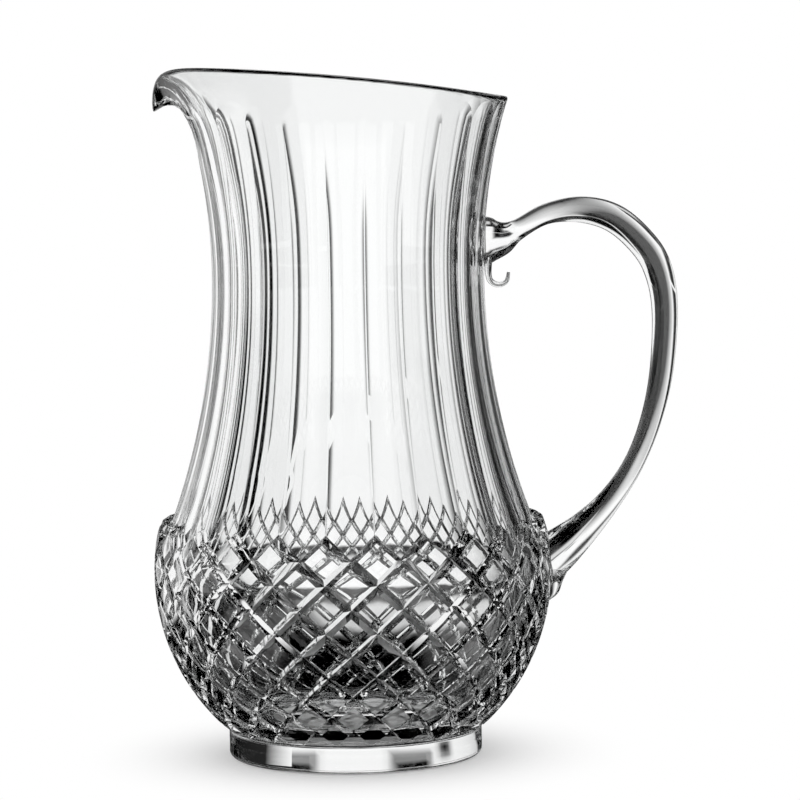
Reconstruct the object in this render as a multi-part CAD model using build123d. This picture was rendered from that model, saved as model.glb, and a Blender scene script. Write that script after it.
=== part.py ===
from build123d import *
import math
import os

# Cut glass juice jug: one blown body, cut with flutes and diamonds, and a handle applied to it.
# Millimetres, +Z up. The origin is on the axis of the bowl, at table level.
# The pouring lip points to -X and the handle to +X.

# Foot: a plain polished disc under the bowl
foot_radius = 42.4
foot_height = 10.0
foot_rounding = 1.8

# Bowl: a circular arc that carries the points of the diamonds
bowl_radius = 66.5
bowl_level = 62.0
bowl_sweep = 70.6
bowl_wall = 7.0
base_thickness = 12.0
base_rounding = 14.0

# Diamonds: crossing V grooves that leave four-sided points, in rows counted down from the top
diamond_rows = 9
diamond_row_angle = 6.5
diamond_top_angle = 15.4
diamond_depth = 2.8
shoulder_step = 1.7

# Neck: an arc from the shoulder in to the waist and another from the waist out to the rim
waist_level = 162.0
waist_radius = 45.5
upper_sweep = 195.0
neck_wall = 5.0

# Flutes: hollow cuts side by side, as many as there are diamonds round the bowl
flute_count = 24
flute_depth = 0.9
flute_overlap = 1.5
flute_fade = 207.0
flute_end = 218.0

# Rim: a polished edge that climbs from the handle to the lip
rim_wall = 3.0
rim_at_handle = 219.5
rim_at_side = 226.7
rim_at_lip = 230.9

# Pouring lip: pulled out of the rim and turned down at its tip
lip_root_level = 198.0
lip_reach = 64.0
lip_tip_level = 215.4
lip_tip_thickness = 3.4
lip_arch = 7.5
lip_spread = 36.0
lip_point = 13.0

# Handle: a drawn rod, pressed on the neck and broad where it runs into the bowl
pad_level = 171.5
pad_height = 17.0
pad_width = 16.0
throat_thickness = 7.0
throat_width = 10.0
crown_level = 181.4
handle_reach = 105.3
grip_thickness = 8.8
grip_width = 11.0
terminal_level = 67.0
terminal_thickness = 15.5
terminal_width = 17.0
seat_depth = 2.4

# Ends of the handle's glass: a drop below the bowl end and a curled tail below the pad
drop_length = 16.0
drop_thickness = 8.0
curl_level = 156.8
curl_radius = 3.4
curl_thickness = 2.2
curl_width = 7.0

flute_step = 360 / flute_count


def bowl_point(angle, depth=0.0):
    """Radius and level on the bowl's arc, by degrees above its widest level and depth under its skin."""
    turn = math.radians(angle)
    reach = bowl_sweep - depth
    return bowl_radius - bowl_sweep + reach * math.cos(turn), bowl_level + reach * math.sin(turn)


# The neck's lower arc starts a step inside the topmost crossings of the grooves
shoulder_radius, shoulder_level = bowl_point(diamond_top_angle, diamond_depth)
neck_spread = shoulder_radius - shoulder_step - waist_radius
lower_sweep = ((waist_level - shoulder_level) ** 2 + neck_spread**2) / (2 * neck_spread)
flute_start = bowl_point(diamond_top_angle - diamond_row_angle, diamond_depth)[1] - flute_overlap
cavity_join = shoulder_level + 2.4 * neck_wall


def neck_radius(level):
    """Radius of the neck at the ridges between the flutes."""
    sweep = upper_sweep if level > waist_level else lower_sweep
    rise = level - waist_level
    return waist_radius + sweep - math.sqrt(sweep**2 - rise**2)


def wall_at(level):
    """Wall behind the ridges, which thins from the waist to the rim."""
    share = (level - waist_level) / (rim_at_handle - waist_level)
    return neck_wall + (rim_wall - neck_wall) * ease(share)


def flute_at(level):
    """Depth of the flutes below the flats between their ridges."""
    return flute_depth * (1 - ease((level - flute_fade) / (flute_end - flute_fade)))


def ease(share):
    """Goes smoothly from 0 to 1 as the share does, and stays there outside."""
    share = min(max(share, 0.0), 1.0)
    return share * share * (3 - 2 * share)


def polar(radius, turn, level):
    """A point by its radius, its degrees from the handle, and its level."""
    angle = math.radians(turn)
    return Vector(radius * math.cos(angle), radius * math.sin(angle), level)


def rim_level(turn):
    """Level of the rim, were it not pulled down at the lip."""
    mean = (rim_at_handle + 2 * rim_at_side + rim_at_lip) / 4
    slope = (rim_at_lip - rim_at_handle) / 2
    bow = (rim_at_handle - 2 * rim_at_side + rim_at_lip) / 4
    angle = math.radians(turn)
    return mean - slope * math.cos(angle) + bow * math.cos(2 * angle)


def lip_curve(share, inside):
    """Radius and level along the middle of the lip, from its root at 0 to its tip at 1."""
    root = neck_radius(lip_root_level)
    tip_level = lip_tip_level
    swell = 0.4 * (lip_reach - root)
    arch = lip_arch
    if inside:
        root -= wall_at(lip_root_level)
        tip_level += lip_tip_thickness
        arch += lip_tip_thickness
    stem = 0.85 * (lip_tip_level - lip_root_level)
    points = [
        (root, lip_root_level),
        (root + 0.1 * (lip_reach - root), lip_root_level + stem),
        (root + swell, tip_level + arch),
        (lip_reach, tip_level),
    ]
    weights = [(1 - share) ** 3, 3 * share * (1 - share) ** 2, 3 * share**2 * (1 - share), share**3]
    radius = sum(weight * point[0] for weight, point in zip(weights, points))
    level = sum(weight * point[1] for weight, point in zip(weights, points))
    return radius, level


def mouth_point(turn, share, inside):
    """A point of the mouth, which goes from the root of the lip at share 0 to the rim at 1."""
    level = lip_root_level + (rim_level(turn) - lip_root_level) * share
    radius = neck_radius(level) - (wall_at(level) if inside else 0.0)
    off = abs(turn % 360 - 180)
    pull_out = math.exp(-((off / lip_spread) ** 3))
    pull_down = math.exp(-((off / lip_point) ** 1.5))
    lip_radius, lip_level = lip_curve(share, inside)
    return polar(
        radius + pull_out * (lip_radius - radius), turn, level + pull_down * (lip_level - level)
    )


def ring(point_at, hollow_at):
    """A closed wire of one arc for each flute, from ridge to ridge, hollowed between them."""
    arcs = []
    for index in range(flute_count):
        turn = (index + 0.5) * flute_step
        middle = point_at(turn + flute_step / 2)
        hollow = hollow_at(middle.Z)
        if hollow > 0:
            out = Vector(middle.X, middle.Y, 0)
            flat = out.length * (1 - math.cos(math.radians(flute_step / 2)))
            middle -= out.normalized() * (flat + hollow)
        arcs.append(Edge.make_three_point_arc(point_at(turn), middle, point_at(turn + flute_step)))
    return Wire(arcs)


def plain(level):
    """No flutes."""
    return 0.0


def neck_ring(level, wall, hollow_at):
    """A level ring of the neck."""
    return ring(lambda turn: polar(neck_radius(level) - wall, turn, level), hollow_at)


def mouth_ring(share, inside, hollow_at):
    """A ring of the mouth, which follows the slant of the rim."""
    return ring(lambda turn: mouth_point(turn, share, inside), hollow_at)


def levels(low, high, count):
    """Evenly spaced levels with both ends."""
    return [low + (high - low) * index / (count - 1) for index in range(count)]


def neck_solid():
    """The fluted neck with its rim and lip, hollow above the join and still solid below it."""
    shares = [0.25, 0.5, 0.7, 0.85, 1.0]
    outer = [neck_ring(level, 0, flute_at) for level in levels(flute_start, lip_root_level, 9)]
    outer += [mouth_ring(share, False, flute_at) for share in shares]
    inner = [mouth_ring(share, True, plain) for share in reversed(shares)]
    inner += [
        neck_ring(level, wall_at(level), plain) for level in levels(lip_root_level, cavity_join, 7)
    ]
    faces = Shell.make_loft(outer).faces()
    faces += Shell.make_loft([outer[-1], inner[0]], ruled=True).faces()
    faces += Shell.make_loft(inner).faces()
    return Solid(Shell(faces + [Face(outer[0]), Face(inner[-1])]))


def row_angle(row):
    """Where a row of groove crossings lies on the bowl's arc."""
    return diamond_top_angle - row * diamond_row_angle


def crossing(row, place):
    """Where two grooves cross. Places count half diamonds round the bowl."""
    radius, level = bowl_point(row_angle(row), diamond_depth)
    return polar(radius, place * flute_step / 2, level)


def diamond(row, place):
    """The four facets of the diamond that is centred on a row."""
    radius, level = bowl_point(row_angle(row))
    point = polar(radius, place * flute_step / 2, level)
    corners = [
        crossing(row, place - 1),
        crossing(row - 1, place),
        crossing(row, place + 1),
        crossing(row + 1, place),
    ]
    return [(corners[side], corners[(side + 1) % 4], point) for side in range(4)]


def closing(edge, radius, level):
    """Facets from a zigzag edge in to a level ring, and the ring."""
    count = len(edge)
    inner = [polar(radius, place * 360 / count, level) for place in range(count)]
    facets = []
    for place in range(count):
        after = (place + 1) % count
        facets.append((edge[place], edge[after], inner[after]))
        facets.append((edge[place], inner[after], inner[place]))
    return facets + [inner]


def bowl_solid():
    """The cut bowl, still filled, as one body of flat facets."""
    places = range(2 * flute_count)
    facets = []
    for row in range(1, diamond_rows + 1):
        for place in places:
            if (place + row) % 2 == 0:
                facets += diamond(row, place)
    last = diamond_rows + 1
    upper = [crossing((place + 1) % 2, place) for place in places]
    lower = [crossing(last - (place + last + 1) % 2, place) for place in places]
    shoulder = (upper[0].Z + upper[1].Z) / 2
    facets += closing(upper, neck_radius(shoulder) - 2 * neck_wall, shoulder)
    facets += closing(lower, foot_radius - foot_height / 2, foot_height / 2)
    return Solid(Shell([Face(Wire.make_polygon(facet)) for facet in facets]))


def foot_solid():
    """The plain disc that the jug stands on."""
    disc = Cylinder(foot_radius, foot_height, align=(Align.CENTER, Align.CENTER, Align.MIN))
    return fillet(disc.edges().group_by(Axis.Z)[0], foot_rounding)


def cavity_solid():
    """The hollow of the bowl, up to where the hollow of the neck starts."""
    side_drop = bowl_level - base_thickness - base_rounding
    side_angle = -math.degrees(math.asin(side_drop / (bowl_sweep - bowl_wall)))
    side = bowl_point(side_angle, bowl_wall)
    along = (-math.sin(math.radians(side_angle)), math.cos(math.radians(side_angle)))
    floor = (side[0] - 1.5 * base_rounding, base_thickness)
    widest = bowl_point(0, bowl_wall)
    join = (neck_radius(cavity_join) - wall_at(cavity_join), cavity_join)
    lean = (cavity_join - waist_level) / lower_sweep
    profile = [
        Line((0, base_thickness), floor),
        Spline(floor, side, tangents=[(1, 0), along]),
        ThreePointArc(side, bowl_point(side_angle / 2, bowl_wall), widest),
        Spline(widest, join, tangents=[(0, 1), (lean, math.sqrt(1 - lean**2))]),
        Line(join, (0, cavity_join)),
        Line((0, cavity_join), (0, base_thickness)),
    ]
    return revolve(Plane.XZ * make_face(Curve() + profile), Axis.Z)


def drawn_glass(stations):
    """Rounded glass through stations of reach, level, thickness and width, in the plane of the handle."""
    sections = []
    for index, (reach, level, thickness, width) in enumerate(stations):
        before = stations[max(index - 1, 0)]
        after = stations[min(index + 1, len(stations) - 1)]
        along = Vector(after[0] - before[0], 0, after[1] - before[1])
        across = Plane(origin=(reach, 0, level), x_dir=(0, 1, 0), z_dir=along)
        sections.append(across * Ellipse(width / 2, thickness / 2))
    return loft(sections)


def handle_rod():
    """The handle from its pad on the neck, over the crown and down to the bowl."""
    neck = neck_radius(pad_level)
    pad = [
        (neck - seat_depth, pad_level, pad_height, pad_width),
        (neck + 1.5, pad_level + 0.4, 0.91 * pad_height, 0.94 * pad_width),
        (neck + 5.8, pad_level + 1.1, 0.68 * pad_height, 0.78 * pad_width),
        (neck + 10.8, pad_level + 3.5, throat_thickness, throat_width),
    ]
    # Shares of the way out from the root and up from the bowl end, and of the grip's thickness
    crown = [
        (0.34, 0.988, 0.78),
        (0.53, 1.0, 0.98),
        (0.71, 0.976, 1.09),
        (0.857, 0.913, 1.1),
        (0.958, 0.832, 1.1),
        (1.0, 0.71, 1.0),
    ]
    fall = [
        (0.967, 0.529, 0.9),
        (0.868, 0.38, 0.8),
        (0.716, 0.254, 0.77),
        (0.51, 0.15, 0.9),
    ]
    grip = []
    for root, shares in ((neck, crown), (bowl_radius, fall)):
        for out, up, thick in shares:
            reach = root + out * (handle_reach - root)
            level = terminal_level + up * (crown_level - terminal_level)
            grip.append((reach, level, thick * grip_thickness, grip_width))
    spread = handle_reach - bowl_radius
    landing = [
        (bowl_radius + 0.286 * spread, terminal_level + 7.9, 0.7, 0.74),
        (bowl_radius + 0.049 * spread, terminal_level, 0.94, 0.91),
        (bowl_radius - 8.0, terminal_level - 8.2, 1.0, 1.0),
    ]
    terminal = [
        (reach, level, thick * terminal_thickness, wide * terminal_width)
        for reach, level, thick, wide in landing
    ]
    return drawn_glass(pad + grip + terminal)


def handle_drop():
    """The drop of glass that runs down the bowl below the handle."""
    low = terminal_level - drop_length
    return drawn_glass(
        [
            (bowl_radius + 2.5, low + 0.78 * drop_length, drop_thickness, 1.25 * drop_thickness),
            (bowl_radius + 1.1, low + 0.41 * drop_length, 0.69 * drop_thickness, 0.94 * drop_thickness),
            (bowl_radius + 0.4, low + 0.18 * drop_length, 0.52 * drop_thickness, 0.62 * drop_thickness),
            (bowl_radius - 1.2, low, 0.18 * drop_thickness, 0.25 * drop_thickness),
        ]
    )


def handle_curl():
    """The tail of the pad, drawn down the neck and curled up away from it."""
    middle = neck_radius(curl_level) + curl_thickness / 2 + curl_radius
    tail = [(middle - curl_radius, pad_level - 4.0, 1.5 * curl_thickness, 1.3 * curl_width)]
    for turn, share in ((180, 1.0), (230, 0.95), (275, 0.85), (320, 0.72), (372, 0.5)):
        angle = math.radians(turn)
        reach = middle + curl_radius * math.cos(angle)
        level = curl_level + curl_radius * (1 + math.sin(angle))
        tail.append((reach, level, share * curl_thickness, share * curl_width))
    return drawn_glass(tail)


filled_body = bowl_solid() + foot_solid() + neck_solid()
parts = {
    "jug_body": filled_body - cavity_solid(),
    "handle": handle_rod() + handle_drop() + handle_curl() - filled_body,
}
os.makedirs("parts", exist_ok=True)
for name, shape in parts.items():
    export_step(shape, f"parts/{name}.step")
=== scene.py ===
import math

import bmesh
import bpy
from mathutils import Matrix, Vector

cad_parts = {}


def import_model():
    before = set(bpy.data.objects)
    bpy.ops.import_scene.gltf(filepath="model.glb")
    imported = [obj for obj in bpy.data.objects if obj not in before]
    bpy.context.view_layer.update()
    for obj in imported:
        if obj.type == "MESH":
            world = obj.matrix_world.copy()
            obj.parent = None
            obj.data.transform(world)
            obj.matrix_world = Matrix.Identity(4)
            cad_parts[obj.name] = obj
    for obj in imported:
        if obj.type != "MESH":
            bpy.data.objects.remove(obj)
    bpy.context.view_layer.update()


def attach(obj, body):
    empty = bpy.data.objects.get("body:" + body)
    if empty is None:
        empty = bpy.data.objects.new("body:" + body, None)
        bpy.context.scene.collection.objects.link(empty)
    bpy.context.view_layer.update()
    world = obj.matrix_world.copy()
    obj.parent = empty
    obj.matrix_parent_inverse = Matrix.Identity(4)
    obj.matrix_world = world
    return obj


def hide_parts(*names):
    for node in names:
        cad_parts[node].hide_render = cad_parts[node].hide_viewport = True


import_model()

# Lengths are written in millimetres and turned into metres here. Points of a mesh become one where they
# round to the same step of a grid with this many to a millimetre
MM = 0.001
POINT_GRID = 2000

# Foot
FOOT_RADIUS = 42.4
FOOT_HEIGHT = 10.0
FOOT_ROUNDING = 1.8
FOOT_SHOULDER = 40.6

# Bowl and its wall
BOWL_RADIUS = 66.5
BOWL_LEVEL = 62.0
BOWL_SWEEP = 70.6
BOWL_WALL = 7.0
BASE_THICKNESS = 12.0
BASE_ROUNDING = 14.0

# Diamonds
ROWS = 9
ROW_ANGLE = 6.5
TOP_ANGLE = 15.4
GROOVE_DEPTH = 2.0
FLAT_SHARE = 0.72
SHOULDER_STEP = 1.7
LEDGE_RISE = 0.6

# Neck
WAIST_LEVEL = 162.0
WAIST_RADIUS = 45.5
UPPER_SWEEP = 195.0
NECK_WALL = 5.0

# Flutes, with the levels between which their ends are arched, and the share of depth that they lose on
# the way up to there
FLUTES = 24
FLUTE_DEPTH = 0.3
ARCH_SPRING = 211.0
ARCH_TOP = 218.4
FLUTE_FADE = 0.35
FADE_START = 175.0
FLUTE_STEP = 360 / FLUTES
HALF_FLUTE = FLUTE_STEP / 2
# Past this place a flute's surface is that of the ridge, and normals are measured over this small step
RIDGE_PLACE = 0.995
PROBE = 0.02
# Places across a flute, from ridge to ridge
FLUTE_COLUMNS = (-1, -0.96, -0.86, -0.7, -0.52, -0.34, -0.17, 0, 0.17, 0.34, 0.52, 0.7, 0.86, 0.96)

# Rim and pouring lip
RIM_WALL = 3.0
RIM_AT_HANDLE = 219.5
RIM_AT_SIDE = 226.7
RIM_AT_LIP = 230.9
RIM_ROUNDING = 1.4
LIP_ROOT_LEVEL = 198.0
LIP_REACH = 64.0
LIP_TIP_LEVEL = 215.4
LIP_TIP_THICKNESS = 3.4
LIP_ARCH = 7.5
LIP_SPREAD = 36.0
LIP_POINT = 13.0

# Handle
PAD_LEVEL = 171.5
PAD_HEIGHT = 17.0
PAD_WIDTH = 16.0
THROAT_THICKNESS = 7.0
THROAT_WIDTH = 10.0
CROWN_LEVEL = 181.4
HANDLE_REACH = 105.3
GRIP_THICKNESS = 8.8
GRIP_WIDTH = 11.0
TERMINAL_LEVEL = 67.0
TERMINAL_THICKNESS = 15.5
TERMINAL_WIDTH = 17.0
DROP_LENGTH = 16.0
DROP_THICKNESS = 8.0
CURL_LEVEL = 156.8
CURL_RADIUS = 3.4
CURL_THICKNESS = 2.2
CURL_WIDTH = 7.0
ROD_EGG = 0.22
# How far the handle runs into the wall of the neck, and into the grooves of the bowl
OVERLAP = 2.2
BOWL_OVERLAP = 1.0
# The ends of the plug that trims the handle: degrees on the bowl's arc, and a level on the neck
PLUG_LOW_ANGLE = -40.0
PLUG_TOP = 215.0

# Studio: a dark surround and mat that only the glass sees, with white openings. In metres, the radius of
# both and how far the surround is raised
SURROUND = 1.2
SURROUND_RAISE = 0.1
# Degrees, and for the mat metres, over which an opening's edge fades
SIDE_EDGE = 5
RISE_EDGE = 5
MAT_EDGE = 0.05
# In metres, where the mat starts and how far it lies under the foot
MAT_START = 0.03
MAT_DROP = 0.0001
# Each opening's middle and half width in degrees from the way the camera looks, towards the handle, then
# the degrees of rise that it spans, and its tone
OPENINGS = (
    (0, 14, -10, 34, 1.0),
    (0, 68, 4, 30, 1.0),
    (-48, 24, -10, 34, 1.0),
    (-90, 22, -10, 5, 1.0),
    (180, 40, -10, 34, 1.0),
)
# Dark bars in front of the openings, in the same numbers
BARS = (
    (-34, 6, 2, 14, 1.0),
    (54, 12, 2, 14, 1.0),
)
# The same for the mat on the floor, with distances in metres in place of the rises
MAT_OPENINGS = (
    (0, 14, 0.42, 2.0, 1.0),
    (-48, 24, 0.42, 2.0, 1.0),
    (-90, 22, 0.42, 2.0, 1.0),
    (-46, 15, 0.2, 0.6, 1.0),
    (135, 26, 0.25, 2.0, 1.0),
    (180, 40, 0.2, 2.0, 1.0),
    (-128, 20, 0.08, 0.3, 1.0),
    (124, 24, 0.08, 0.3, 1.0),
    (8, 16, 0.21, 0.36, 0.7),
)
# Flags to the right of the jug, in metres: for each end its place and its tone there, then foot and top
FLAGS = (
    ((0.055, 0.2, 1.0), (0.102, 0.2, 0.02), 0.03, 0.27),
    ((0.102, 0.2, 0.02), (0.5, 0.26, 0.0), 0.03, 0.27),
    ((0.5, 0.26, 0.0), (0.55, -0.15, 0.0), 0.03, 0.27),
)

# Floor: its tone, then in metres its half size, its drop below the foot, and where it fades to white
FLOOR_TONE = 0.98
FLOOR_SIZE = 8.0
FLOOR_DROP = 0.0002
FLOOR_FADE = (0.01, 0.095)

# Glass: its index and tint, the smear's scale and roughness, then for each piece its node, its slot and
# the scale and depth in metres of its waviness
GLASS_INDEX = 1.54
GLASS_TINT = (0.995, 1.0, 0.999, 1)
SMEAR_SCALE = 18.0
SMEAR_RANGE = (0.45, 0.75)
SMEAR_ROUGHNESS = 0.02
BODY_GLASS = ("jug_body", "body_glass", 30.0, 0.00006)
HANDLE_GLASS = ("handle", "handle_glass", 45.0, 0.0001)

# Camera
CAMERA_PLACE = (16.6, -1250.0, 228.7)
CAMERA_TARGET = (16.6, 0.0, 118.7)
CAMERA_LENS = 169.0
CAMERA_ROLL = 0.87
CAMERA_SENSOR = 36
CAMERA_CLIP = (0.05, 100)


def ease(share):
    """Goes smoothly from 0 to 1 as the share does, and stays there outside."""
    share = min(max(share, 0.0), 1.0)
    return share * share * (3 - 2 * share)


def bowl_point(angle, depth=0.0):
    """Radius and level on the bowl's arc, by degrees above its widest level and depth under its skin."""
    turn = math.radians(angle)
    reach = BOWL_SWEEP - depth
    return BOWL_RADIUS - BOWL_SWEEP + reach * math.cos(turn), BOWL_LEVEL + reach * math.sin(turn)


shoulder_radius, shoulder_level = bowl_point(TOP_ANGLE, GROOVE_DEPTH)
neck_spread = shoulder_radius - SHOULDER_STEP - WAIST_RADIUS
lower_sweep = ((WAIST_LEVEL - shoulder_level) ** 2 + neck_spread**2) / (2 * neck_spread)
cavity_join = shoulder_level + 2.4 * NECK_WALL


def neck_radius(level):
    """Radius of the neck at the ridges between the flutes."""
    sweep = UPPER_SWEEP if level > WAIST_LEVEL else lower_sweep
    return WAIST_RADIUS + sweep - math.sqrt(sweep**2 - (level - WAIST_LEVEL) ** 2)


def wall_at(level):
    """Wall behind the ridges, which thins from the waist to the rim."""
    share = (level - WAIST_LEVEL) / (RIM_AT_HANDLE - WAIST_LEVEL)
    return NECK_WALL + (RIM_WALL - NECK_WALL) * ease(share)


def polar(radius, turn, level):
    """A point by its radius, its degrees from the handle, and its level."""
    angle = math.radians(turn)
    return Vector((radius * math.cos(angle), radius * math.sin(angle), level))


def rim_level(turn):
    """Level of the rim, were it not pulled down at the lip."""
    mean = (RIM_AT_HANDLE + 2 * RIM_AT_SIDE + RIM_AT_LIP) / 4
    slope = (RIM_AT_LIP - RIM_AT_HANDLE) / 2
    bow = (RIM_AT_HANDLE - 2 * RIM_AT_SIDE + RIM_AT_LIP) / 4
    angle = math.radians(turn)
    return mean - slope * math.cos(angle) + bow * math.cos(2 * angle)


def bezier(points, share):
    """A point of the cubic curve with those four points."""
    a, b, c, d = (Vector(point) for point in points)
    rest = 1 - share
    return a * rest**3 + b * (3 * share * rest**2) + c * (3 * share**2 * rest) + d * share**3


def lip_curve(share, inside):
    """Radius and level along the middle of the lip, from its root at 0 to its tip at 1."""
    root = neck_radius(LIP_ROOT_LEVEL)
    tip_level = LIP_TIP_LEVEL
    swell = 0.4 * (LIP_REACH - root)
    arch = LIP_ARCH
    if inside:
        root -= wall_at(LIP_ROOT_LEVEL)
        tip_level += LIP_TIP_THICKNESS
        arch += LIP_TIP_THICKNESS
    stem = 0.85 * (LIP_TIP_LEVEL - LIP_ROOT_LEVEL)
    points = [
        (root, LIP_ROOT_LEVEL),
        (root + 0.1 * (LIP_REACH - root), LIP_ROOT_LEVEL + stem),
        (root + swell, tip_level + arch),
        (LIP_REACH, tip_level),
    ]
    return bezier(points, share)


def mouth_point(turn, level, inside, sunk=0.0):
    """A point of the mouth, by the level it would have without the lip, and its depth in a flute."""
    share = (level - LIP_ROOT_LEVEL) / (rim_level(turn) - LIP_ROOT_LEVEL)
    radius = neck_radius(level) - (wall_at(level) if inside else 0.0)
    if share <= 0:
        return polar(radius - sunk, turn, level)
    off = abs(turn % 360 - 180)
    pull_out = math.exp(-((off / LIP_SPREAD) ** 3))
    pull_down = math.exp(-((off / LIP_POINT) ** 1.5))
    lip_radius, lip_level = lip_curve(share, inside)
    return polar(
        radius + pull_out * (lip_radius - radius) - sunk,
        turn,
        level + pull_down * (lip_level - level),
    )


def flute_sunk(place, level):
    """How far a flute lies under the neck's ridges, at a place from -1 to 1 across it."""
    whole = FLUTE_DEPTH + neck_radius(level) * (1 - math.cos(math.radians(HALF_FLUTE)))
    whole *= 1 - FLUTE_FADE * ease((level - FADE_START) / (ARCH_SPRING - FADE_START))
    sunk = whole * (1 - place**2)
    if level > ARCH_SPRING:
        sunk -= whole * ((level - ARCH_SPRING) / (ARCH_TOP - ARCH_SPRING)) ** 2
    return max(sunk, 0.0)


def arch_level(place):
    """Level of the flute's arched end at a place across it."""
    return ARCH_SPRING + (ARCH_TOP - ARCH_SPRING) * math.sqrt(1 - place**2)


def flute_point(turn, place, lean, level):
    """A point of a fluted column, leant from its turn, with the normal of the flute there."""
    aside = (lean - turn + 180) % 360 - 180
    place += aside / HALF_FLUTE

    def near(over, up):
        sunk = 0.0
        if abs(place) < RIDGE_PLACE:
            sunk = flute_sunk(place + over / HALF_FLUTE, level + up)
        return mouth_point(lean + over, level + up, False, sunk)

    across = near(PROBE, 0) - near(-PROBE, 0)
    along = near(0, PROBE) - near(0, -PROBE)
    return mouth_point(lean, level, False, flute_sunk(place, level)), across.cross(along).normalized()


def plain_point(turn, level, inside):
    """A point of the mouth's plain skin, with its normal."""
    across = mouth_point(turn + PROBE, level, inside) - mouth_point(turn - PROBE, level, inside)
    along = mouth_point(turn, level + PROBE, inside) - mouth_point(turn, level - PROBE, inside)
    return mouth_point(turn, level, inside), across.cross(along).normalized()


class Sheet:
    """Collects the faces of one closed mesh. Points that fall together become one."""

    def __init__(self):
        self.points = []
        self.faces = []
        self.flat = []
        self.turned = []
        self.index = {}
        self.sharp = set()

    def point(self, place):
        key = tuple(round(value * POINT_GRID) for value in place)
        if key not in self.index:
            self.index[key] = len(self.points)
            self.points.append(Vector(place) * MM)
        return self.index[key]

    def face(self, places, flat=False, normals=None):
        corners = []
        for place in places:
            corner = self.point(place)
            if not corners or (corners[-1] != corner and corners[0] != corner):
                corners.append(corner)
        if len(corners) > 2:
            self.faces.append(corners)
            self.flat.append(flat)
            turned = {}
            if normals:
                turned = {self.point(place): normal for place, normal in zip(places, normals)}
            self.turned.append(turned)

    def rows(self, rows, normals=None):
        """Faces between closed rings of points, with the rings' normals if given."""
        for index in range(len(rows) - 1):
            count = len(rows[index])
            for column in range(count):
                after = (column + 1) % count
                corners = ((index, column), (index, after), (index + 1, after), (index + 1, column))
                places = [rows[row][place] for row, place in corners]
                turned = [normals[row][place] for row, place in corners] if normals else None
                self.face(places, normals=turned)

    def crease(self, places):
        """A line along which the surface has an edge."""
        for start, end in zip(places, places[1:]):
            pair = (self.point(start), self.point(end))
            self.sharp.add((min(pair), max(pair)))

    def mesh(self, name):
        mesh = bpy.data.meshes.new(name)
        mesh.from_pydata(self.points, [], self.faces)
        mesh.validate()
        body = bmesh.new()
        body.from_mesh(mesh)
        bmesh.ops.recalc_face_normals(body, faces=body.faces)
        body.to_mesh(mesh)
        body.free()
        mesh.polygons.foreach_set("use_smooth", [not flat for flat in self.flat])
        for edge in mesh.edges:
            if tuple(sorted(edge.vertices)) in self.sharp:
                edge.use_edge_sharp = True
        if any(self.turned):
            normals = [(0, 0, 0)] * len(mesh.loops)
            for polygon, turned in zip(mesh.polygons, self.turned):
                for loop in polygon.loop_indices:
                    normal = turned.get(mesh.loops[loop].vertex_index)
                    if normal is not None:
                        outward = normal.dot(polygon.normal) > 0
                        normals[loop] = tuple(normal if outward else -normal)
            mesh.normals_split_custom_set(normals)
        mesh.update()
        return mesh


def columns():
    """Every column of the neck: its turn, and its place across its flute."""
    found = []
    for flute in range(FLUTES):
        for place in FLUTE_COLUMNS:
            found.append(((flute + place / 2) * FLUTE_STEP, place))
    return found


def crossing(row, place):
    """Where two grooves cross. Places count half diamonds round the bowl."""
    radius, level = bowl_point(TOP_ANGLE - row * ROW_ANGLE, GROOVE_DEPTH)
    return polar(radius, place * HALF_FLUTE, level)


def bowl_skin(row, place):
    """A point of the blown surface that is left on the diamonds."""
    radius, level = bowl_point(TOP_ANGLE - row * ROW_ANGLE)
    return polar(radius, place * HALF_FLUTE, level)


def belt_edge(turn, place):
    """The belt's upper edge, a zigzag of straight lines between the crossings of its first two rows."""
    ridge = Vector(bowl_point(TOP_ANGLE, GROOVE_DEPTH))
    middle = Vector(bowl_point(TOP_ANGLE - ROW_ANGLE, GROOVE_DEPTH))
    share = abs(place)
    half = math.radians(HALF_FLUTE)
    across = (1 - share) * middle[0] * math.sin(half)
    along = share * ridge[0] + (1 - share) * middle[0] * math.cos(half)
    lean = HALF_FLUTE - math.degrees(math.atan2(across, along))
    if place <= 0:
        lean = -lean
    level = middle.lerp(ridge, share)[1]
    return polar(math.hypot(across, along), turn - place * HALF_FLUTE + lean, level)


def diamond(sheet, row, place, edges):
    """One diamond: four flanks up from the grooves, and the blown surface left between them."""
    steps = 4
    corners = [(row - 1, place), (row, place + 1), (row + 1, place), (row, place - 1)]
    inner = [
        (row + (at[0] - row) * FLAT_SHARE, place + (at[1] - place) * FLAT_SHARE) for at in corners
    ]
    for side in range(4):
        after = (side + 1) % 4
        start, end = inner[side], inner[after]
        rim = [
            bowl_skin(
                start[0] + (end[0] - start[0]) * step / steps,
                start[1] + (end[1] - start[1]) * step / steps,
            )
            for step in range(steps + 1)
        ]
        outer = edges.get((corners[side], corners[after]))
        if outer is None:
            outer = [crossing(*corners[side]), crossing(*corners[after])]
        sheet.face(outer + rim[::-1], flat=True)
        sheet.crease(rim)
    for down in range(steps):
        for over in range(steps):
            quad = []
            around = ((down, over), (down + 1, over), (down + 1, over + 1), (down, over + 1))
            for first, second in around:
                here = (first / steps, second / steps)
                at = [
                    inner[0][axis]
                    + (inner[1][axis] - inner[0][axis]) * here[0]
                    + (inner[3][axis] - inner[0][axis]) * here[1]
                    for axis in (0, 1)
                ]
                quad.append(bowl_skin(*at))
            sheet.face(quad)


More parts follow.
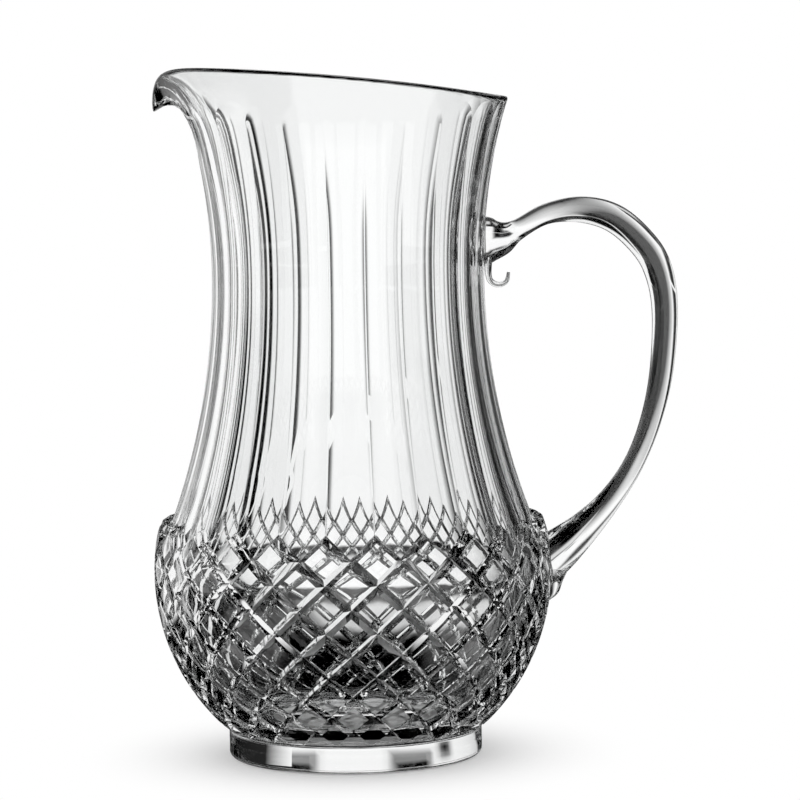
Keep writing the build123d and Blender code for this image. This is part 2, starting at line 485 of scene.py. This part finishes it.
def belt(sheet):
    """The diamonds, and the facets that join them to the foot."""
    edges = {}
    half = len(FLUTE_COLUMNS) // 2
    for flute in range(FLUTES):
        centre = 2 * flute
        falling = [
            belt_edge((flute + place / 2) * FLUTE_STEP, place) for place in FLUTE_COLUMNS[: half + 1]
        ]
        rising = [
            belt_edge((flute + place / 2) * FLUTE_STEP, place)
            for place in FLUTE_COLUMNS[half:] + (1,)
        ]
        # From the ridge on the left down to the flute's middle, and up to the ridge on its right
        edges[((0, centre - 1), (1, centre))] = falling
        edges[((1, centre), (0, centre + 1))] = rising
    wrapped = {}
    for (first, second), line in edges.items():
        for shift in (-2 * FLUTES, 0, 2 * FLUTES):
            key = ((first[0], first[1] + shift), (second[0], second[1] + shift))
            wrapped[key] = line
    for row in range(1, ROWS + 1):
        for place in range(2 * FLUTES):
            if (place + row) % 2 == 0:
                diamond(sheet, row, place, wrapped)


def points_and_normals(rings):
    """Rings of points and rings of normals, from rings of both."""
    points = [[point for point, normal in ring] for ring in rings]
    normals = [[normal for point, normal in ring] for ring in rings]
    return points, normals


def body_mesh():
    """The blown and cut body as one closed mesh."""
    sheet = Sheet()
    belt(sheet)
    turns = columns()

    # Ledge from the belt's edge in to the flutes
    edge = [belt_edge(turn, place) for turn, place in turns]
    root = []
    for (turn, place), point in zip(turns, edge):
        lean = math.degrees(math.atan2(point.y, point.x))
        root.append(flute_point(turn, place, lean, point.z + LEDGE_RISE))
    sheet.rows([edge, [point for point, normal in root]])
    sheet.crease(edge + edge[:1])

    # Outside of the neck, up to the arched ends of the flutes and on to the rim
    lower = [root]
    lower_count = 40
    for step in range(1, lower_count + 1):
        share = step / lower_count
        ring = []
        for (turn, place), (start, normal) in zip(turns, root):
            level = start.z + (arch_level(place) - start.z) * share
            lean = math.degrees(math.atan2(start.y, start.x))
            at = lean + ((turn - lean + 180) % 360 - 180) * ease(step / 4)
            ring.append(flute_point(turn, place, at, level))
        lower.append(ring)
    lower_points, lower_normals = points_and_normals(lower)
    sheet.rows(lower_points, lower_normals)
    sheet.crease(lower_points[0] + lower_points[0][:1])
    sheet.crease(lower_points[-1] + lower_points[-1][:1])

    upper = []
    upper_count = 4
    for step in range(upper_count + 1):
        ring = []
        for turn, place in turns:
            top = arch_level(place)
            end = rim_level(turn) - RIM_ROUNDING
            if step > 0:
                top = min(top, end - 0.3)
            ring.append(plain_point(turn, top + (end - top) * step / upper_count, False))
        upper.append(ring)
    upper_points, upper_normals = points_and_normals(upper)
    sheet.rows([lower_points[-1]] + upper_points[1:], upper_normals)
    upper = upper_points

    # Rounded rim
    rim = []
    rim_count = 4
    for inside in (False, True):
        for step in range(1, rim_count + 1):
            share = step / rim_count
            ring = []
            for turn, place in turns:
                top = rim_level(turn)
                outer, inner = mouth_point(turn, top, False), mouth_point(turn, top, True)
                middle = (outer + inner) / 2
                if inside:
                    low = mouth_point(turn, top - RIM_ROUNDING, True)
                    first, corner, last = middle, inner, low
                else:
                    low = mouth_point(turn, top - RIM_ROUNDING, False)
                    first, corner, last = low, outer, middle
                rest = 1 - share
                ring.append(first * rest**2 + corner * (2 * share * rest) + last * share**2)
            rim.append(ring)
    sheet.rows([upper[-1]] + rim)

    # Inside of the neck
    inside = []
    inside_count = 34
    for step in range(inside_count + 1):
        share = step / inside_count
        ring = []
        for turn, place in turns:
            top = rim_level(turn) - RIM_ROUNDING
            ring.append(plain_point(turn, top + (cavity_join - top) * share, True))
        inside.append(ring)
    # Inside of the bowl, as radius and level from the join down to the middle of the floor
    profile = [(neck_radius(cavity_join) - wall_at(cavity_join), cavity_join)] + cavity_profile()
    for index in range(1, len(profile)):
        before, here = profile[index - 1], profile[index]
        after = profile[min(index + 1, len(profile) - 1)]
        lean = line_normal(before, here, after)
        ring = []
        for turn, place in turns:
            ring.append((polar(here[0], turn, here[1]), polar(lean[0], turn, lean[1])))
        inside.append(ring)
    inside, normals = points_and_normals(inside)
    sheet.rows([rim[-1]] + inside[1:], normals)
    sheet.face(inside[-1])

    foot(sheet)
    return sheet.mesh("jug_body_glass")


def line_normal(before, here, after):
    """The normal of a smooth line at its middle point of three."""
    first, last = math.dist(before, here), math.dist(here, after)
    if last == 0:
        run = [here[axis] - before[axis] for axis in (0, 1)]
    else:
        run = [
            (here[axis] - before[axis]) * last / first + (after[axis] - here[axis]) * first / last
            for axis in (0, 1)
        ]
    size = math.hypot(*run)
    return run[1] / size, -run[0] / size


def hermite(start, start_run, end, end_run, count):
    """Points of a smooth curve after its start, with the given runs at both ends."""
    points = []
    start, end = Vector(start), Vector(end)
    start_run, end_run = Vector(start_run), Vector(end_run)
    for step in range(1, count + 1):
        t = step / count
        points.append(
            start * (2 * t**3 - 3 * t**2 + 1)
            + start_run * (t**3 - 2 * t**2 + t)
            + end * (3 * t**2 - 2 * t**3)
            + end_run * (t**3 - t**2)
        )
    return [tuple(point) for point in points]


def cavity_profile():
    """Radius and level down the inside of the bowl, from the join with the neck."""
    lean = (cavity_join - WAIST_LEVEL) / lower_sweep
    join = (neck_radius(cavity_join) - wall_at(cavity_join), cavity_join)
    widest = bowl_point(0, BOWL_WALL)
    span = math.dist(join, widest)
    profile = hermite(join, (-lean * span, -math.sqrt(1 - lean**2) * span), widest, (0, -span), 10)
    side_drop = BOWL_LEVEL - BASE_THICKNESS - BASE_ROUNDING
    side_angle = -math.degrees(math.asin(side_drop / (BOWL_SWEEP - BOWL_WALL)))
    arc_count = 12
    profile += [bowl_point(side_angle * step / arc_count, BOWL_WALL) for step in range(1, arc_count + 1)]
    side = profile[-1]
    down = (math.sin(math.radians(side_angle)), -math.cos(math.radians(side_angle)))
    floor = (side[0] - 1.5 * BASE_ROUNDING, BASE_THICKNESS)
    span = math.dist(side, floor)
    profile += hermite(side, (down[0] * span, down[1] * span), floor, (-span, 0), 10)
    profile += [(floor[0] * share, BASE_THICKNESS) for share in (0.75, 0.5, 0.25, 0.08)]
    return profile


def foot(sheet):
    """The plain foot, from the facets under the last diamonds to its flat underside."""
    last = ROWS + 1
    places = 2 * FLUTES
    split = 7
    count = places * split
    zigzag = [crossing(last - (place + last + 1) % 2, place) for place in range(places)]

    def circle(radius, level):
        return [polar(radius, place * 360 / count, level) for place in range(count)]

    top = circle(FOOT_SHOULDER, FOOT_HEIGHT)
    for place in range(places):
        start = place * split
        below = [top[(start + step) % count] for step in range(split + 1)]
        sheet.face([zigzag[place]] + below + [zigzag[(place + 1) % places]], flat=True)
    sheet.crease(top + top[:1])
    rings = [top]
    rounding = FOOT_RADIUS - FOOT_SHOULDER
    for step in range(1, 6):
        angle = math.pi / 2 * step / 5
        out, drop = rounding * math.sin(angle), rounding * (1 - math.cos(angle))
        rings.append(circle(FOOT_SHOULDER + out, FOOT_HEIGHT - drop))
    for share in (0.33, 0.67, 1.0):
        low = FOOT_ROUNDING + (FOOT_HEIGHT - rounding - FOOT_ROUNDING) * (1 - share)
        rings.append(circle(FOOT_RADIUS, low))
    for step in range(1, 6):
        angle = math.pi / 2 * step / 5
        pull, lift = FOOT_ROUNDING * (1 - math.cos(angle)), FOOT_ROUNDING * (1 - math.sin(angle))
        rings.append(circle(FOOT_RADIUS - pull, lift))
    rings.append(circle(FOOT_RADIUS - FOOT_ROUNDING - 2, 0))
    rings.append(circle(4, 0))
    sheet.rows(rings)
    sheet.face(rings[-1])


def smooth_line(stations, split):
    """Stations joined by a smooth curve through them, with more of them between."""
    line = []
    for index in range(len(stations) - 1):
        four = [
            stations[max(index - 1, 0)],
            stations[index],
            stations[index + 1],
            stations[min(index + 2, len(stations) - 1)],
        ]
        for step in range(split):
            t = step / split
            weights = (
                (-t + 2 * t**2 - t**3) / 2,
                (2 - 5 * t**2 + 3 * t**3) / 2,
                (t + 4 * t**2 - 3 * t**3) / 2,
                (t**3 - t**2) / 2,
            )
            line.append(
                tuple(sum(w * four[k][axis] for k, w in enumerate(weights)) for axis in range(4))
            )
    line.append(stations[-1])
    return line


def drawn_glass(name, stations, egg=0.0, split=8, around=48):
    """Glass drawn through stations of reach, level, thickness and width, in the handle's plane."""
    sheet = Sheet()
    line = smooth_line(stations, split)
    rings = []
    for index, (reach, level, thickness, width) in enumerate(line):
        before, after = line[max(index - 1, 0)], line[min(index + 1, len(line) - 1)]
        along = Vector((after[0] - before[0], 0, after[1] - before[1])).normalized()
        across = Vector((0, 1, 0))
        up = along.cross(across)
        centre = Vector((reach, 0, level))
        ring = []
        for step in range(around):
            angle = 2 * math.pi * step / around
            wide = math.cos(angle) * (1 + egg * math.sin(angle)) / (1 + egg / 2)
            ring.append(centre + across * (wide * width / 2) + up * (math.sin(angle) * thickness / 2))
        rings.append(ring)
    sheet.rows(rings)
    sheet.face(rings[0])
    sheet.face(rings[-1])
    mesh = sheet.mesh(name)
    piece = bpy.data.objects.new(name, mesh)
    bpy.context.collection.objects.link(piece)
    return piece


def handle_rod():
    """The handle from its pad on the neck, over the crown and down to the bowl."""
    neck = neck_radius(PAD_LEVEL)
    stations = [
        (neck - 5, PAD_LEVEL, PAD_HEIGHT, PAD_WIDTH),
        (neck - 2.4, PAD_LEVEL, PAD_HEIGHT, PAD_WIDTH),
        (neck + 1.5, PAD_LEVEL + 0.4, 0.91 * PAD_HEIGHT, 0.94 * PAD_WIDTH),
        (neck + 5.8, PAD_LEVEL + 1.1, 0.68 * PAD_HEIGHT, 0.78 * PAD_WIDTH),
        (neck + 10.8, PAD_LEVEL + 3.5, THROAT_THICKNESS, THROAT_WIDTH),
    ]
    # Shares of the way out and of the way up, and thickness as a share of the grip's
    crown = [
        (0.34, 0.988, 0.78),
        (0.53, 1.0, 0.98),
        (0.71, 0.976, 1.09),
        (0.857, 0.913, 1.1),
        (0.958, 0.832, 1.1),
        (1.0, 0.71, 1.0),
    ]
    fall = [
        (0.967, 0.529, 0.9),
        (0.868, 0.38, 0.8),
        (0.716, 0.254, 0.77),
        (0.51, 0.15, 0.9),
    ]
    for root, shares in ((neck, crown), (BOWL_RADIUS, fall)):
        for out, up, thick in shares:
            reach = root + out * (HANDLE_REACH - root)
            level = TERMINAL_LEVEL + up * (CROWN_LEVEL - TERMINAL_LEVEL)
            stations.append((reach, level, thick * GRIP_THICKNESS, GRIP_WIDTH))
    spread = HANDLE_REACH - BOWL_RADIUS
    # Reach and level, with thickness and width as shares of the terminal's
    landing = [
        (BOWL_RADIUS + 0.286 * spread, TERMINAL_LEVEL + 7.9, 0.7, 0.74),
        (BOWL_RADIUS + 0.049 * spread, TERMINAL_LEVEL, 0.94, 0.91),
        (BOWL_RADIUS - 8.0, TERMINAL_LEVEL - 8.2, 1.0, 1.0),
    ]
    stations += [
        (reach, level, thick * TERMINAL_THICKNESS, wide * TERMINAL_WIDTH)
        for reach, level, thick, wide in landing
    ]
    return drawn_glass("handle_rod", stations, egg=ROD_EGG)


def handle_drop():
    """The drop of glass that runs down the bowl below the handle."""
    low = TERMINAL_LEVEL - DROP_LENGTH
    return drawn_glass(
        "handle_drop",
        [
            (BOWL_RADIUS + 2.5, low + 0.78 * DROP_LENGTH, DROP_THICKNESS, 1.25 * DROP_THICKNESS),
            (BOWL_RADIUS + 1.1, low + 0.41 * DROP_LENGTH, 0.69 * DROP_THICKNESS, 0.94 * DROP_THICKNESS),
            (BOWL_RADIUS + 0.4, low + 0.18 * DROP_LENGTH, 0.52 * DROP_THICKNESS, 0.62 * DROP_THICKNESS),
            (BOWL_RADIUS - 1.2, low, 0.18 * DROP_THICKNESS, 0.25 * DROP_THICKNESS),
        ],
    )


def handle_curl():
    """The tail of the pad, drawn down the neck and curled up away from it."""
    middle = neck_radius(CURL_LEVEL) + CURL_THICKNESS / 2 + CURL_RADIUS
    tail = [(middle - CURL_RADIUS, PAD_LEVEL - 4.0, 1.5 * CURL_THICKNESS, 1.3 * CURL_WIDTH)]
    for turn, share in ((180, 1.0), (230, 0.95), (275, 0.85), (320, 0.72), (372, 0.5)):
        angle = math.radians(turn)
        reach = middle + CURL_RADIUS * math.cos(angle)
        level = CURL_LEVEL + CURL_RADIUS * (1 + math.sin(angle))
        tail.append((reach, level, share * CURL_THICKNESS, share * CURL_WIDTH))
    return drawn_glass("handle_curl", tail)


def wall_plug():
    """A filled body whose skin runs inside the wall of the jug, which trims the ends of the handle."""
    sheet = Sheet()
    around = 192
    profile = []
    for step in range(25):
        angle = PLUG_LOW_ANGLE + (TOP_ANGLE - ROW_ANGLE - PLUG_LOW_ANGLE) * step / 24
        profile.append(bowl_point(angle, GROOVE_DEPTH + BOWL_OVERLAP))
    start = profile[-1][1] + 3
    for step in range(30):
        level = start + (PLUG_TOP - start) * step / 29
        profile.append((neck_radius(level) - OVERLAP, level))
    rings = [
        [polar(radius, turn * 360 / around, level) for turn in range(around)]
        for radius, level in profile
    ]
    sheet.rows(rings)
    sheet.face(rings[0])
    sheet.face(rings[-1])
    piece = bpy.data.objects.new("wall_plug", sheet.mesh("wall_plug"))
    bpy.context.collection.objects.link(piece)
    return piece


def join(base, other, operation):
    """Changes the base by a boolean with the other, which is then removed."""
    modifier = base.modifiers.new("joined", "BOOLEAN")
    modifier.operation = operation
    modifier.solver = "EXACT"
    modifier.object = other
    seen = base.evaluated_get(bpy.context.evaluated_depsgraph_get())
    mesh = bpy.data.meshes.new_from_object(seen)
    base.modifiers.clear()
    base.data = mesh
    bpy.data.objects.remove(other)


def handle_piece():
    """The applied handle, ending inside the wall of the jug."""
    piece = handle_rod()
    join(piece, handle_drop(), "UNION")
    join(piece, handle_curl(), "UNION")
    join(piece, wall_plug(), "DIFFERENCE")
    piece.name = "handle_glass"
    for polygon in piece.data.polygons:
        polygon.use_smooth = True
    return piece


def glass(name, wave, wave_depth):
    """Clear polished glass, with a faint waviness from its making and the slightest smear."""
    material = bpy.data.materials.new(name)
    material.use_nodes = True
    nodes, links = material.node_tree.nodes, material.node_tree.links
    shader = nodes["Principled BSDF"]
    shader.inputs["Base Color"].default_value = GLASS_TINT
    shader.inputs["IOR"].default_value = GLASS_INDEX
    shader.inputs["Transmission Weight"].default_value = 1.0
    place = nodes.new("ShaderNodeTexCoord")
    swell = nodes.new("ShaderNodeTexNoise")
    swell.inputs["Scale"].default_value = wave
    swell.inputs["Detail"].default_value = 1.0
    bump = nodes.new("ShaderNodeBump")
    bump.inputs["Strength"].default_value = 1.0
    bump.inputs["Distance"].default_value = wave_depth
    smear = nodes.new("ShaderNodeTexNoise")
    smear.inputs["Scale"].default_value = SMEAR_SCALE
    smear.inputs["Detail"].default_value = 4.0
    rough = nodes.new("ShaderNodeMapRange")
    rough.inputs["From Min"].default_value, rough.inputs["From Max"].default_value = SMEAR_RANGE
    rough.inputs["To Min"].default_value = 0.0
    rough.inputs["To Max"].default_value = SMEAR_ROUGHNESS
    links.new(place.outputs["Object"], swell.inputs["Vector"])
    links.new(place.outputs["Object"], smear.inputs["Vector"])
    links.new(swell.outputs["Fac"], bump.inputs["Height"])
    links.new(bump.outputs["Normal"], shader.inputs["Normal"])
    links.new(smear.outputs["Fac"], rough.inputs["Value"])
    links.new(rough.outputs["Result"], shader.inputs["Roughness"])
    return material


def camera():
    """The photograph's view."""
    data = bpy.data.cameras.new("camera")
    data.lens = CAMERA_LENS
    data.sensor_width = CAMERA_SENSOR
    seen = bpy.data.objects.new("camera", data)
    place, target = Vector(CAMERA_PLACE) * MM, Vector(CAMERA_TARGET) * MM
    look = (target - place).to_track_quat("-Z", "Y").to_matrix().to_4x4()
    roll = Matrix.Rotation(math.radians(-CAMERA_ROLL), 4, "Z")
    seen.matrix_world = Matrix.Translation(place) @ look @ roll
    data.clip_start, data.clip_end = CAMERA_CLIP
    bpy.context.collection.objects.link(seen)
    bpy.context.scene.camera = seen


def world():
    """A white room."""
    made = bpy.data.worlds.new("room")
    made.use_nodes = True
    made.node_tree.nodes["Background"].inputs["Color"].default_value = (1, 1, 1, 1)
    bpy.context.scene.world = made


def floor():
    """A plain pale floor just under the foot, which takes the shadow near the jug and fades to white."""
    mesh = bpy.data.meshes.new("floor")
    corners = ((-1, -1), (1, -1), (1, 1), (-1, 1))
    points = [(x * FLOOR_SIZE, y * FLOOR_SIZE, -FLOOR_DROP) for x, y in corners]
    mesh.from_pydata(points, [], [(0, 1, 2, 3)])
    plane = bpy.data.objects.new("floor", mesh)
    bpy.context.collection.objects.link(plane)
    material = bpy.data.materials.new("floor_paint")
    material.use_nodes = True
    nodes, links = material.node_tree.nodes, material.node_tree.links
    paint = nodes["Principled BSDF"]
    paint.inputs["Base Color"].default_value = (FLOOR_TONE, FLOOR_TONE, FLOOR_TONE, 1)
    paint.inputs["Roughness"].default_value = 1.0
    paint.inputs["Specular IOR Level"].default_value = 0.0
    white = nodes.new("ShaderNodeEmission")
    mixed = nodes.new("ShaderNodeMixShader")
    place = nodes.new("ShaderNodeTexCoord")
    away = nodes.new("ShaderNodeVectorMath")
    away.operation = "LENGTH"
    fade = nodes.new("ShaderNodeMapRange")
    fade.interpolation_type = "SMOOTHSTEP"
    fade.inputs["From Min"].default_value, fade.inputs["From Max"].default_value = FLOOR_FADE
    path = nodes.new("ShaderNodeLightPath")
    either = nodes.new("ShaderNodeMath")
    seen = nodes.new("ShaderNodeMath")
    seen.use_clamp = True
    share = nodes.new("ShaderNodeMath")
    share.operation = "MULTIPLY"
    links.new(place.outputs["Object"], away.inputs[0])
    links.new(away.outputs["Value"], fade.inputs["Value"])
    links.new(path.outputs["Is Camera Ray"], either.inputs[0])
    links.new(path.outputs["Is Glossy Ray"], either.inputs[1])
    links.new(either.outputs[0], seen.inputs[0])
    links.new(path.outputs["Is Transmission Ray"], seen.inputs[1])
    links.new(fade.outputs["Result"], share.inputs[0])
    links.new(seen.outputs[0], share.inputs[1])
    links.new(share.outputs[0], mixed.inputs["Fac"])
    links.new(paint.outputs[0], mixed.inputs[1])
    links.new(white.outputs[0], mixed.inputs[2])
    links.new(mixed.outputs[0], nodes["Material Output"].inputs["Surface"])
    mesh.materials.append(material)


def opening_tone(openings, bars, turn, reach, soft):
    """The tone of a card at a turn and a rise or distance, dark away from the openings."""
    shares = []
    for middle, half, low, high, shade in (*openings, *bars):
        aside = abs((turn - middle + 180) % 360 - 180)
        share = ease((half - aside) / SIDE_EDGE) * ease((reach - low) / soft)
        share *= ease((high - reach) / soft)
        shares.append(shade * share)
    tone = max(shares[: len(openings)])
    for shade in shares[len(openings) :]:
        tone *= 1 - shade
    return tone


def studio_card(name, grid, tones):
    """A card of the studio that only glass sees, with a tone at each of its points."""
    points = [point for row in grid for point in row]
    width = len(grid[0])
    faces = []
    for row in range(len(grid) - 1):
        for column in range(width - 1):
            start = row * width + column
            faces.append((start, start + 1, start + width + 1, start + width))
    mesh = bpy.data.meshes.new(name)
    mesh.from_pydata(points, [], faces)
    tone = mesh.color_attributes.new("tone", "FLOAT_COLOR", "POINT")
    for index, value in enumerate(value for row in tones for value in row):
        tone.data[index].color = (value, value, value, 1)
    card = bpy.data.objects.new(name, mesh)
    bpy.context.collection.objects.link(card)
    card.visible_camera = False
    card.visible_diffuse = False
    card.visible_shadow = False
    material = bpy.data.materials.new(name)
    material.use_nodes = True
    nodes, links = material.node_tree.nodes, material.node_tree.links
    nodes.remove(nodes["Principled BSDF"])
    read = nodes.new("ShaderNodeVertexColor")
    read.layer_name = "tone"
    glow = nodes.new("ShaderNodeEmission")
    links.new(read.outputs["Color"], glow.inputs["Color"])
    links.new(glow.outputs[0], nodes["Material Output"].inputs["Surface"])
    mesh.materials.append(material)


def studio():
    """A dark surround with white openings, as glass is photographed, and a dark mat on the floor."""
    turns = range(-180, 181, 2)
    round_sines = [(math.sin(math.radians(turn)), math.cos(math.radians(turn))) for turn in turns]

    grid, tones = [], []
    for rise in range(-4, 91, 2):
        up = math.radians(rise)
        reach = SURROUND * math.cos(up)
        level = SURROUND * math.sin(up) + SURROUND_RAISE
        grid.append([(reach * across, reach * along, level) for across, along in round_sines])
        tones.append([opening_tone(OPENINGS, BARS, turn, rise, RISE_EDGE) for turn in turns])
    studio_card("surround", grid, tones)

    grid, tones = [], []
    rings = 60
    for step in range(rings + 1):
        reach = MAT_START + (SURROUND - MAT_START) * (step / rings) ** 1.5
        grid.append([(reach * across, reach * along, -MAT_DROP) for across, along in round_sines])
        tones.append([opening_tone(MAT_OPENINGS, (), turn, reach, MAT_EDGE) for turn in turns])
    studio_card("mat", grid, tones)

    for start, end, low, high in FLAGS:
        grid = [[(*start[:2], level), (*end[:2], level)] for level in (low, high)]
        studio_card("flag", grid, [[start[2], end[2]]] * 2)


def dress():
    """Puts the glass pieces in place of the plain solids."""
    body = bpy.data.objects.new("jug_body_glass", body_mesh())
    bpy.context.collection.objects.link(body)
    handle = handle_piece()
    for piece, (node, slot, wave, wave_depth) in ((body, BODY_GLASS), (handle, HANDLE_GLASS)):
        piece.data.materials.clear()
        piece.data.materials.append(glass(slot, wave, wave_depth))
        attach(piece, "root")
        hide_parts(node)


camera()
world()
floor()
studio()
dress()

scene = bpy.context.scene
scene.view_settings.view_transform = "Standard"
scene.cycles.max_bounces = 32
scene.cycles.transmission_bounces = 32
scene.cycles.glossy_bounces = 16
